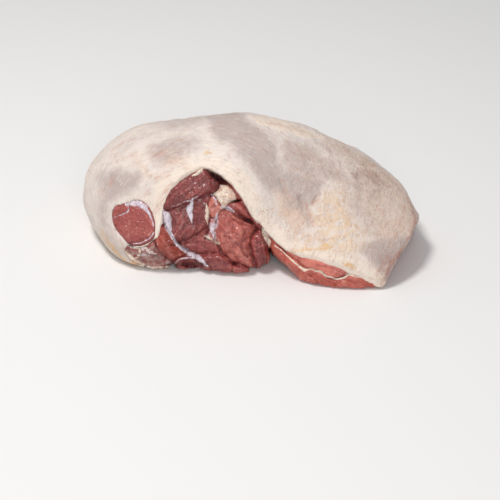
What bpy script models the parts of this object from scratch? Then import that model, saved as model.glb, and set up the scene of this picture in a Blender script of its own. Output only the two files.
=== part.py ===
"""A raw leg of lamb, boned and folded over: one closed solid, in metres, +Z up.

The folded leg is a group of overlapping round masses, fused and smoothed. Its right end is cut off flat,
so that the cut slopes in under the edge of the flap.
The fat ends at an opening in the front, where the lean muscles lie in a shallow recess, and along the
front of the flap that is folded over them. A single muscle is cut across, flat, at the left.
"""

from math import cos, radians, sin

import bmesh
import bpy
from mathutils import Euler, Matrix, Vector
from mathutils.bvhtree import BVHTree

# ---- driving sizes ----
LENGTH = 0.288                 # along X
MM = LENGTH / 288              # a millimetre on a leg of that length: every size below follows LENGTH

SLOPE = radians(31)            # the front of the leg leans back: the direction OUT points out of it
OUT = Vector((0, -cos(SLOPE), sin(SLOPE)))
UP_SLOPE = Vector((0, sin(SLOPE), cos(SLOPE)))
SLOPE_ORIGIN = Vector((0, -20, 0)) * MM

FAT_STEP = 9 * MM              # how far the lean lies below the fat in the opening
FLAP_STEP = 3 * MM             # the same along the front of the flap
EYE_RADIUS = 21 * MM
EYE_STEP = 3.8 * MM            # how far below the fat the cut across the muscle at the left lies
VOXEL = 2 * MM
CREASE_ROUNDS = 36             # rounds of smoothing where the masses of the leg meet
EDGE_ROUNDS = 14               # and along the cut end
SWELL = 3.0                    # mm on each radius, which makes up for what the smoothing takes off
TRIANGLES = 12500              # before the floor cuts off what is under it
BALL_SUBDIVISIONS = 4          # of the ball that every round mass is made from
EYE_SEGMENTS = 48
OUTSIDE = 200.0                # mm out of the slope, well outside the leg
PRISM_FOOT = 15.0              # mm out of the slope where a recess starts, inside the leg

# The masses of the folded leg: centre, radii and turn (mm, degrees).
MASSES = {
    "left round": ((-69, 20, 32), (72, 64, 56), (0, -4, -6)),
    "left shoulder": ((-72, 34, 33), (60, 50, 50), (0, 0, 10)),
    "left foot": ((-64, -14, 18), (57, 43, 38), (0, 0, 6)),
    "crown": ((-12, 20, 34), (83, 70, 63), (0, 0, 0)),
    "back": ((39, 23, 24), (88, 65, 59), (0, 9, -14)),
    "flap": ((72, -3, 8), (93, 77, 50), (0, 9, -26)),
    "middle foot": ((-14, -28, 16), (46, 34, 32), (0, 0, 0)),
}

# The flat cuts at the right end, the first under the edge of the flap: a point on each, and the direction
# out of the leg.
END_CUTS = {
    "end_cutter": (Vector((113, -25, -33)) * MM, Vector((0.875, -0.327, -0.356))),
    "corner_cutter": (Vector((143, 0, 30)) * MM, Vector((0.9, 0.4, 0.2))),
}

# The edge of the fat round the opening, on the slope: across and up it (mm), below the board at the foot.
OPENING = (
    (-35, 67), (-50, 62), (-60, 51), (-67, 41), (-72, 28), (-79, 13), (-79, -60),
    (32, -60), (27, 0), (12, 14), (2, 26), (-7, 41), (-14, 52), (-22, 60),
)
# The edge of the fat along the front of the flap.
FLAP_FRONT = (
    (18, 10), (29, -1), (41, -6), (57, -11), (75, -16), (93, -23), (101, -28), (101, -60), (18, -60),
)

# Muscles in the opening: place on the slope, how far the top lies below the fat, radii across, up and
# out of the slope, and turn on the slope (mm, degrees).
MUSCLES = {
    "slab": ((-51, 48), 3, (23, 12, 13), 40),
    "silver muscle": ((-47, 23), 7, (13, 19, 12), 8),
    "corner muscle": ((-67, 7), 2, (11, 14, 12), 50),
    "fat scrap": ((-18, 44), 6, (11, 6, 8), 10),
    "slit muscle": ((-13, 33), 7, (13, 8, 10), -20),
    "pink lobe": ((-6, 6), 0, (17, 23, 20), 20),
    "low muscle": ((-38, 1), 7, (20, 11, 14), -20),
    "low lump": ((-24, -10), 2, (17, 10, 14), 0),
    "low round": ((-50, -8), 2, (14, 12, 14), 0),
    "foot muscle": ((-70, -13), 0, (15, 14, 14), 0),
}
HOLLOWS = {
    "under the lip": ((-27, 54), 4, (8, 9, 9), 25),
    "slit": ((-11, 36), 2, (8, 2.5, 9), 0),
}

# The muscle at the left that is cut across: place on the slope (mm), and the direction the cut faces.
EYE_PLACE = (-94, 22)
EYE_OUT = Vector((-0.30, -0.80, 0.50))

# The gap under the flap, between it and the middle muscles.
GAP = ((22, -62, 0), (11, 42, 31), (0, -28, 0))

FAT_COLOUR = (0.72, 0.60, 0.52, 1)


# ---- helpers ----
def clear_scene():
    for obj in list(bpy.data.objects):
        bpy.data.objects.remove(obj, do_unlink=True)


def add_modifier(obj, kind, **values):
    modifier = obj.modifiers.new(kind.title(), kind)
    for name, value in values.items():
        setattr(modifier, name, value)


def add_object(name, data):
    """Adds an object that the "place" empty carries, once there is one."""
    carrier = bpy.data.objects.get("place")
    obj = bpy.data.objects.new(name, data)
    obj.parent = carrier
    bpy.context.scene.collection.objects.link(obj)
    return obj


def hide(obj):
    obj.hide_render = True
    obj.display_type = "WIRE"
    return obj


def evaluated_mesh(obj):
    graph = bpy.context.evaluated_depsgraph_get()
    return bpy.data.meshes.new_from_object(obj.evaluated_get(graph))


def ellipsoids(name, placements):
    """One mesh of the ellipsoids that these matrices make of a ball of radius 1."""
    shapes = bmesh.new()
    for placement in placements:
        bmesh.ops.create_icosphere(shapes, subdivisions=BALL_SUBDIVISIONS, radius=1, matrix=placement)
    mesh = bpy.data.meshes.new(name)
    shapes.to_mesh(mesh)
    shapes.free()
    return add_object(name, mesh)


def mass_placement(centre, radii, turn):
    """The matrix of a mass: its centre and radii in mm, turned about X, then Y, then Z."""
    rotation = Euler([radians(angle) for angle in turn]).to_matrix().to_4x4()
    return Matrix.Translation(Vector(centre) * MM) @ rotation @ Matrix.Diagonal((*(r * MM for r in radii), 1))


def fuse(obj, voxel, rounds):
    """Joins what overlaps in the object, and rounds the creases."""
    add_modifier(obj, "REMESH", mode="VOXEL", voxel_size=voxel)
    add_modifier(obj, "SMOOTH", factor=0.5, iterations=rounds)


def cut(obj, cutter):
    add_modifier(obj, "BOOLEAN", operation="DIFFERENCE", object=hide(cutter))


def join(obj, other):
    add_modifier(obj, "BOOLEAN", operation="UNION", object=hide(other))


# ---- the slope that the front of the leg makes ----
SLOPE_TURN = Matrix((Vector((1, 0, 0)), UP_SLOPE, OUT)).transposed().to_4x4()


def on_slope(across, up, out=0.0):
    """The point in space that lies this far across, up and out of the slope (mm)."""
    return SLOPE_ORIGIN + (Vector((1, 0, 0)) * across + UP_SLOPE * up + OUT * out) * MM


def surface_point(tree, across, up):
    """Where a line straight into the slope meets the fat."""
    return tree.ray_cast(on_slope(across, up, out=OUTSIDE), -OUT)[0]


def muscle_placement(tree, place, sunk, radii, turn):
    """The matrix of an ellipsoid in the opening, its top sunk this far below the fat."""
    centre = surface_point(tree, *place) - OUT * (radii[2] + sunk) * MM
    rotation = SLOPE_TURN @ Matrix.Rotation(radians(turn), 4, "Z")
    return Matrix.Translation(centre) @ rotation @ Matrix.Diagonal((*(r * MM for r in radii), 1))


def slope_prism(name, outline):
    """A prism with this outline on the slope, from the middle of the leg out past the fat."""
    shape = bmesh.new()
    inner = [shape.verts.new(on_slope(across, up, out=PRISM_FOOT)) for across, up in outline]
    face = shape.faces.new(inner)
    pushed = bmesh.ops.extrude_face_region(shape, geom=[face])["geom"]
    moved = [item for item in pushed if isinstance(item, bmesh.types.BMVert)]
    bmesh.ops.translate(shape, verts=moved, vec=OUT * (OUTSIDE - PRISM_FOOT) * MM)
    bmesh.ops.recalc_face_normals(shape, faces=shape.faces)
    mesh = bpy.data.meshes.new(name)
    shape.to_mesh(mesh)
    shape.free()
    return add_object(name, mesh)


# ---- the leg ----
def add_box(name, size, matrix):
    shape = bmesh.new()
    bmesh.ops.create_cube(shape, size=size, matrix=matrix)
    mesh = bpy.data.meshes.new(name)
    shape.to_mesh(mesh)
    shape.free()
    return add_object(name, mesh)


def end_cutter(name, point, out):
    """A box whose bottom face is a cut at the right end."""
    side = LENGTH
    turn = out.to_track_quat("Z", "Y").to_matrix().to_4x4()
    middle = point + out.normalized() * side / 2
    return add_box(name, side, Matrix.Translation(middle) @ turn)


def floor_cutter():
    """A box whose top face is the board that the leg rests on."""
    side = 2 * LENGTH
    return add_box("floor_cutter", side, Matrix.Translation((0, 0, -side / 2)))


def fused_masses(name, ends):
    placements = [
        mass_placement(centre, [radius + SWELL for radius in radii], turn)
        for centre, radii, turn in MASSES.values()
    ]
    body = ellipsoids(name, placements)
    fuse(body, 2 * VOXEL, CREASE_ROUNDS)
    for end in ends:
        cut(body, end)
    fuse(body, VOXEL, EDGE_ROUNDS)
    return body


def bare(leg, outline, step, name, ends):
    """Takes the fat off inside the outline, down to a core that lies a step below it."""
    cut(leg, slope_prism(f"{name}_outline", outline))
    core = fused_masses(f"{name}_core", ends)
    add_modifier(core, "DISPLACE", strength=-step, mid_level=0)
    join(leg, core)


def eye_cutter(tree):
    """A cylinder that cuts the muscle at the left off flat."""
    out = EYE_OUT.normalized()
    turn = out.to_track_quat("Z", "Y").to_matrix().to_4x4()
    depth = 2 * EYE_RADIUS
    middle = surface_point(tree, *EYE_PLACE) + out * (depth / 2 - EYE_STEP)
    shape = bmesh.new()
    bmesh.ops.create_cone(
        shape, cap_ends=True, segments=EYE_SEGMENTS, radius1=EYE_RADIUS, radius2=EYE_RADIUS, depth=depth,
        matrix=Matrix.Translation(middle) @ turn,
    )
    mesh = bpy.data.meshes.new("eye_cutter")
    shape.to_mesh(mesh)
    shape.free()
    return add_object("eye_cutter", mesh)


def fat_material():
    material = bpy.data.materials.new("fat")
    material.use_nodes = True
    shader = material.node_tree.nodes["Principled BSDF"]
    shader.inputs["Base Color"].default_value = FAT_COLOUR
    shader.inputs["Roughness"].default_value = 0.45
    shader.inputs["Metallic"].default_value = 0
    return material


def add_leg():
    ends = [end_cutter(name, point, out) for name, (point, out) in END_CUTS.items()]
    leg = fused_masses("leg_of_lamb", ends)
    outside = evaluated_mesh(leg)
    shape = bmesh.new()
    shape.from_mesh(outside)
    tree = BVHTree.FromBMesh(shape)
    shape.free()

    # The deeper step comes last, because a core fills every recess down to its own depth.
    bare(leg, FLAP_FRONT, FLAP_STEP, "flap_front", ends)
    bare(leg, OPENING, FAT_STEP, "opening", ends)
    muscles = ellipsoids("muscles", [muscle_placement(tree, *m) for m in MUSCLES.values()])
    fuse(muscles, VOXEL / 2, 2)
    join(leg, muscles)
    cut(leg, eye_cutter(tree))
    fuse(leg, VOXEL, 1)
    hollows = [muscle_placement(tree, *hollow) for hollow in HOLLOWS.values()]
    cut(leg, ellipsoids("hollows", [mass_placement(*GAP), *hollows]))
    faces = len(evaluated_mesh(leg).polygons) * 2
    add_modifier(leg, "DECIMATE", ratio=TRIANGLES / faces)
    cut(leg, floor_cutter())
    leg.data.shade_smooth()
    leg.data.materials.append(fat_material())
    return leg


def centre(leg, place):
    """Moves the leg and its cutters, so that the origin is at the middle of the leg's foot."""
    points = [vertex.co for vertex in evaluated_mesh(leg).vertices]
    for axis in (0, 1):
        values = [point[axis] for point in points]
        place.location[axis] = -(min(values) + max(values)) / 2


clear_scene()
place = add_object("place", None)
centre(add_leg(), place)
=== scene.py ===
"""The looks of a raw leg of lamb, boned and folded over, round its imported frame.

Shapes are worked out in millimetres, in the leg's own space: X along the leg, Y away from its opening, Z up
from the board. Each piece is the skin of a field, a function of space that is negative inside the piece.
What lies in the opening is drawn as relief on the slope, the plane that the front of the leg leans along.
"""

from collections import namedtuple
from functools import reduce

import bpy
import numpy as np
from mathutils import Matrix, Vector


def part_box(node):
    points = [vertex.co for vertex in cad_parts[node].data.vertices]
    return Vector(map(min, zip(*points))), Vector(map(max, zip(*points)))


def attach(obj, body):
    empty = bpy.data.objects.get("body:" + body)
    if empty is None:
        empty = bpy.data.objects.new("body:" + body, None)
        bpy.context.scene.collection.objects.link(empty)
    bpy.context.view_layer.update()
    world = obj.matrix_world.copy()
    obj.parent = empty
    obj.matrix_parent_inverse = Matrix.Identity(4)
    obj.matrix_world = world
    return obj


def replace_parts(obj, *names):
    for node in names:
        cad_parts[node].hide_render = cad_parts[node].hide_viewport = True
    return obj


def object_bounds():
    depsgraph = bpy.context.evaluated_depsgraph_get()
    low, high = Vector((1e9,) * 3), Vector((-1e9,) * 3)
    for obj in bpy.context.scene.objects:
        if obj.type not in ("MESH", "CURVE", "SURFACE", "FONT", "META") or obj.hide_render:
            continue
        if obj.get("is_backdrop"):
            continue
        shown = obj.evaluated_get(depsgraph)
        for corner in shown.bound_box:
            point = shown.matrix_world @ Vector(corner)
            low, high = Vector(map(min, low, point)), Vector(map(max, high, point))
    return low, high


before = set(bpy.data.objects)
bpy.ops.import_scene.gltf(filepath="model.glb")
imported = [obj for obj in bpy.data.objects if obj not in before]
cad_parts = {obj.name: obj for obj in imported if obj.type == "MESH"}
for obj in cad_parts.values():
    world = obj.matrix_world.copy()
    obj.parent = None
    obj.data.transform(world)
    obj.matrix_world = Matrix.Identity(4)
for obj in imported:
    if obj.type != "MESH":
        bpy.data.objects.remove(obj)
CAD_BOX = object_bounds()
NODE = "leg_of_lamb"
LOW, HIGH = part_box(NODE)

# ---- the leg's own space ----
MASSES_LOW = np.array([-142.0, -82.6, 0.0])  # the box of the masses below, cut off at the board
MASSES_LENGTH = 286.3
UNIT = (HIGH.x - LOW.x) / MASSES_LENGTH  # metres for each millimetre of the leg's own space

SLOPE = np.radians(31)  # how far the front of the leg leans back
OUT = np.array([0.0, -np.cos(SLOPE), np.sin(SLOPE)])
UP_SLOPE = np.array([0.0, np.sin(SLOPE), np.cos(SLOPE)])
SLOPE_ORIGIN = np.array([0.0, -20.0, 0.0])

FAT_THICKNESS = 3.5
BED_DEPTH = 13.0  # of the opening where no muscle fills it
POCKET_DEPTH = 24.0  # how deep the fat piece is hollowed behind the lean
LEAN_OVERLAP = 10  # how far the lean reaches in under the fat's edge
LEAN_BACK = 8  # how far in front of the leg's middle the lean ends
EYE_DEPTH = 8  # of the muscle cut across at the left
GAP_DEPTH = 30
END_DEPTH = 6  # of the lean at the right end
FIBRE_STRETCH = 0.16  # fibres are this much finer across than along

# centre, radii, turn about X, Y and Z, blend into the masses before it (mm, degrees)
MASSES = (
    ((-69, 20, 32), (72, 64, 56), (0, -4, -6), 0),       # left round
    ((-72, 34, 33), (60, 50, 50), (0, 0, 10), 14),       # left shoulder
    ((-64, -14, 18), (57, 43, 38), (0, 0, 6), 14),       # left foot
    ((-12, 20, 35), (80, 70, 64), (0, 0, 0), 20),        # crown
    ((39, 23, 24), (88, 65, 59), (0, 9, -14), 20),       # back
    ((72, -3, 8), (93, 77, 50), (0, 9, -26), 18),        # flap
    ((-14, -28, 16), (46, 34, 32), (0, 0, 0), 10),       # middle foot
)
END_POINT = (113, -25, -33)  # on the cut that slopes in under the flap's right end
END_OUT = (0.875, -0.327, -0.356)
CORNER_POINT = (143, 0, 30)
CORNER_OUT = (0.9, 0.4, 0.2)
EYE_POINT = (-94, -44, 41)  # the muscle cut across at the left
EYE_OUT = (-0.30, -0.80, 0.50)
EYE_STEP = 3.8


def to_world(points):
    """Points of the leg's own space, in the row frame in metres."""
    return np.array(LOW) + (points - MASSES_LOW) * UNIT


# ---- noise ----
def lattice_value(cell, seed):
    """A number between -1 and 1 that belongs to a lattice point and looks random."""
    mixed = cell[..., 0] * 73856093 ^ cell[..., 1] * 19349663 ^ cell[..., 2] * 83492791 ^ seed * 40503
    mixed = (mixed & 0xFFFFFFF) * 1274126177
    mixed ^= mixed >> 15
    return (mixed & 0xFFFF) / 32767.5 - 1


def noise(points, size, seed):
    """Smooth noise between -1 and 1, whose lumps have this size (mm). Points have 2 or 3 coordinates."""
    scaled = points / size
    if scaled.shape[-1] == 2:
        scaled = np.concatenate([scaled, np.full(scaled.shape[:-1] + (1,), 0.37)], axis=-1)
    cell = np.floor(scaled).astype(np.int64)
    part = scaled - cell
    part = part * part * part * (part * (part * 6 - 15) + 10)
    total = np.zeros(scaled.shape[:-1])
    for corner in np.ndindex(2, 2, 2):
        share = np.prod(np.where(corner, part, 1 - part), axis=-1)
        total += share * lattice_value(cell + corner, seed)
    return total


def fractal(points, size, seed):
    """Noise with finer noise on it, of half the size and half the strength."""
    return noise(points, size, seed) + noise(points, size / 2, seed + 7) / 2


# ---- fields ----
def turn_matrix(turn):
    matrix = np.eye(3)
    for axis, angle in enumerate(np.radians(turn)):
        first, second = (axis + 1) % 3, (axis + 2) % 3
        step = np.eye(3)
        step[first, first] = step[second, second] = np.cos(angle)
        step[second, first] = np.sin(angle)
        step[first, second] = -np.sin(angle)
        matrix = step @ matrix
    return matrix


def ellipsoid(points, centre, radii, turn):
    local = (points - np.array(centre, float)) @ turn_matrix(turn)
    near = np.linalg.norm(local / radii, axis=-1)
    slope = np.linalg.norm(local / np.square(radii), axis=-1)
    return near * (near - 1) / np.maximum(slope, 1e-9)


def smooth_min(a, b, blend):
    if blend == 0:
        return np.minimum(a, b)
    share = np.clip(0.5 + 0.5 * (b - a) / blend, 0, 1)
    return b * (1 - share) + a * share - blend * share * (1 - share)


def smooth_max(a, b, blend):
    return -smooth_min(-a, -b, blend)


def smooth_step(values, low, high):
    part = np.clip((values - low) / (high - low), 0, 1)
    return part * part * (3 - 2 * part)


def plane(points, point, out):
    direction = np.array(out, float)
    return (points - np.array(point, float)) @ (direction / np.linalg.norm(direction))


def masses(points):
    """The folded leg before anything is cut off it."""
    total = None
    for centre, radii, turn, blend in MASSES:
        mass = ellipsoid(points, centre, radii, turn)
        total = mass if total is None else smooth_min(total, mass, blend)
    return total


def outer(points):
    """The leg's outside: the masses, cut off at the right end."""
    whole = smooth_max(masses(points), plane(points, CORNER_POINT, CORNER_OUT), blend=14)
    return smooth_max(whole, plane(points, END_POINT, END_OUT), blend=3)


def eye_plane(points):
    return plane(points, EYE_POINT, EYE_OUT) + EYE_STEP


# ---- skins of fields ----
def grid_axes(low, high, step, block):
    """Evenly spaced values along each axis, a whole number of blocks long."""
    axes = []
    for start, end in zip(low, high):
        blocks = int(np.ceil((end - start) / (step * block)))
        axes.append(start + step * np.arange(blocks * block + 1))
    return axes


def grid_points(axes):
    return np.stack(np.meshgrid(*axes, indexing="ij"), axis=-1)


def corner_views(values):
    """The eight corners of every cell of a grid."""
    for corner in np.ndindex(2, 2, 2):
        yield values[tuple(slice(c, n - 1 + c) for c, n in zip(corner, values.shape))]


def sampled(field, axes, block):
    """The field on the grid, worked out at every point only in the blocks near its surface."""
    coarse = field(grid_points([axis[::block] for axis in axes]))
    inside = sum((corner < 0).astype(int) for corner in corner_views(coarse))
    crossed = np.pad((inside > 0) & (inside < 8), 1)
    near = np.zeros_like(crossed)
    for shift in np.ndindex(3, 3, 3):
        near |= np.roll(crossed, [s - 1 for s in shift], axis=(0, 1, 2))
    near = near[1:-1, 1:-1, 1:-1]
    index = [np.minimum(np.arange(len(axis)) // block, n - 1) for axis, n in zip(axes, near.shape)]
    wanted = near[np.ix_(*index)]
    values = coarse[np.ix_(*index)]
    places = grid_points(axes)[wanted]
    found = [field(part) for part in np.array_split(places, len(places) // 300000 + 1)]
    values[wanted] = np.concatenate(found)
    return values


def skin(field, low, high, step, block=4):
    """The surface where the field is zero, as vertices and quads.

    Each grid cell that the surface crosses gets one vertex, at the mean of the places where the surface
    crosses the cell's edges. Each crossed grid edge gets a quad of the four cells round it.
    """
    axes = grid_axes(low, high, step, block)
    values = sampled(field, axes, block)
    solid = values < 0
    inside = sum(corner.astype(int) for corner in corner_views(solid))
    crossed = (inside > 0) & (inside < 8)
    number = np.full(crossed.shape, -1)
    cells = np.argwhere(crossed)
    number[crossed] = np.arange(len(cells))
    total, count = np.zeros((len(cells), 3)), np.zeros((len(cells), 1))
    corners = [np.array(corner) for corner in np.ndindex(2, 2, 2)]
    for a in corners:
        for axis in np.flatnonzero(a == 0):
            b = a.copy()
            b[axis] = 1
            at_a, at_b = values[tuple((cells + a).T)], values[tuple((cells + b).T)]
            cut = (at_a < 0) != (at_b < 0)
            share = (at_a[cut] / (at_a[cut] - at_b[cut]))[:, None]
            total[cut] += a + (b - a) * share
            count[cut] += 1
    vertices = np.array([axis[0] for axis in axes]) + (cells + total / count) * step
    quads = []
    for axis in range(3):
        one, two = (axis + 1) % 3, (axis + 2) % 3
        here = [slice(None)] * 3
        ahead = [slice(None)] * 3
        here[axis], ahead[axis] = slice(0, -1), slice(1, None)
        for leaving in (True, False):
            first, second = solid[tuple(here)], solid[tuple(ahead)]
            edges = np.argwhere(first & ~second if leaving else ~first & second)
            fits = (edges[:, [one, two]] > 0) & (edges[:, [one, two]] < np.array(crossed.shape)[[one, two]])
            edges = edges[fits.all(axis=1)]
            side, up = np.eye(3, dtype=int)[one], np.eye(3, dtype=int)[two]
            ring = [edges - side - up, edges - up, edges, edges - side]
            quad = np.stack([number[tuple(cell.T)] for cell in ring], axis=1)
            quads.append(quad if leaving else quad[:, ::-1])
    return vertices, np.concatenate(quads)


def without_hidden(vertices, quads, hidden):
    """Leaves out the quads whose four corners are all hidden, and the vertices that only they used."""
    kept = quads[~hidden[quads].all(axis=1)]
    used, index = np.unique(kept, return_inverse=True)
    return vertices[used], index.reshape(kept.shape)


# ---- charts: relief and looks by place across and up the slope ----
def on_slope(points):
    """How far across and up the slope the points lie."""
    return np.stack([points[..., 0], (points - SLOPE_ORIGIN) @ UP_SLOPE], axis=-1)


class Chart:
    """A grid of places on the slope, and what has been drawn there under each name."""

    def __init__(self, low, high, step):
        self.low, self.step = np.array(low, float), step
        self.places = grid_points([np.arange(a, b, step) for a, b in zip(low, high)])
        self.drawn = {}

    def read(self, name, points):
        """What is drawn under this name, at points that lie anywhere in the leg's space."""
        values = self.drawn[name]
        at = (on_slope(points) - self.low) / self.step
        at = np.clip(at, 0, np.array(values.shape) - 1.001)
        cell = at.astype(int)
        part = at - cell
        total = 0
        for i, j in np.ndindex(2, 2):
            share = np.prod(np.where((i, j), part, 1 - part), axis=-1)
            total = total + share * values[cell[..., 0] + i, cell[..., 1] + j]
        return total


OPENING = Chart((-128, -62), (118, 82), 0.45)  # the lean, drawn finely
FRONT = Chart((-152, -60), (154, 128), 0.8)  # the fat
MAP = OPENING.places


def turned(places, angle):
    """How far along and across this direction on the slope the places lie."""
    x, y = places[..., 0], places[..., 1]
    return x * np.cos(angle) + y * np.sin(angle), y * np.cos(angle) - x * np.sin(angle)


def smooth_line(points, closed=False, steps=4):
    """A Catmull-Rom curve through the points, whose coordinates may include a half width."""
    points = np.array(points, float)
    if closed:
        points = np.concatenate([points[-1:], points, points[:2]])
    else:
        points = np.concatenate([2 * points[:1] - points[1:2], points, 2 * points[-1:] - points[-2:-1]])
    a, b, c, d = points[:-3, None], points[1:-2, None], points[2:-1, None], points[3:, None]
    t = np.arange(steps)[None, :, None] / steps
    curve = b + 0.5 * t * (c - a + t * (2 * a - 5 * b + 4 * c - d + t * (3 * (b - c) + d - a)))
    curve = curve.reshape(-1, points.shape[1])
    return curve if closed else np.concatenate([curve, points[-2:-1]])


def line_distance(places, line):
    """Distance from the places to the line, and the line's half width at the nearest point."""
    best, width = np.full(places.shape[:-1], 1e9), np.zeros(places.shape[:-1])
    for a, b in zip(line[:-1], line[1:]):
        along = b[:2] - a[:2]
        part = np.clip((places - a[:2]) @ along / max(along @ along, 1e-9), 0, 1)
        distance = np.linalg.norm(places - a[:2] - part[..., None] * along, axis=-1)
        nearer = distance < best
        best = np.where(nearer, distance, best)
        if len(a) > 2:
            width = np.where(nearer, a[2] + part * (b[2] - a[2]), width)
    return best, np.maximum(width, 0.1)


def loop_distance(places, outline):
    """Distance from the places to a closed outline, negative inside it."""
    loop = smooth_line(outline, closed=True)
    loop = np.concatenate([loop, loop[:1]])
    distance, _ = line_distance(places, loop)
    inside = np.zeros(places.shape[:-1], bool)
    x, y = places[..., 0], places[..., 1]
    for (ax, ay), (bx, by) in zip(loop[:-1], loop[1:]):
        if ay != by:
            inside ^= ((ay > y) != (by > y)) & (x < ax + (y - ay) * (bx - ax) / (by - ay))
    return np.where(inside, -distance, distance)


# The edge of the fat round what it leaves bare: the opening, and the front of the flap down to the board.
LIP = ((-37, 66), (-29, 63), (-22, 58.5), (-14, 52), (-7, 41.5), (-2, 34), (2, 26.5), (7, 20), (12, 14.5),
       (18, 9.5), (29, 0), (41, -3.5), (57, -6.5), (75, -12.5), (93, -21.5), (103, -29))
LEFT_EDGE = ((-44, 65), (-53, 60), (-62, 52.5), (-68.5, 43), (-72.5, 34), (-73.5, 25), (-75, 17),
             (-77, 10.5), (-82, 5), (-91, 2), (-98, 5), (-102, 0), (-99, -6), (-92, -12), (-83, -16.5))
BELOW_BOARD = ((104, -60), (-84, -60))
BARE = LIP + BELOW_BOARD + LEFT_EDGE[::-1]

# The gap between the middle muscles and the flap.
GAP = ((6, 22), (12, 14.5), (16, 9), (20, -3), (30, -12.5), (39, -23), (46, -42), (2, -42), (9, -15),
       (14.5, -10), (15, -3), (12.5, 5), (10.5, 13))

# The muscle that is cut across at the left, with the small muscle and the silver skin beside it.
EYE = ((-112, 29), (-110, 35), (-104, 37.5), (-98, 38), (-93, 40.5), (-86, 39), (-80, 33), (-77, 25),
       (-76, 16), (-76.5, 10.5), (-80, 6.5), (-86, 3.6), (-93, 2.8), (-98, 5), (-104, 11), (-110, 19))

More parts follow.
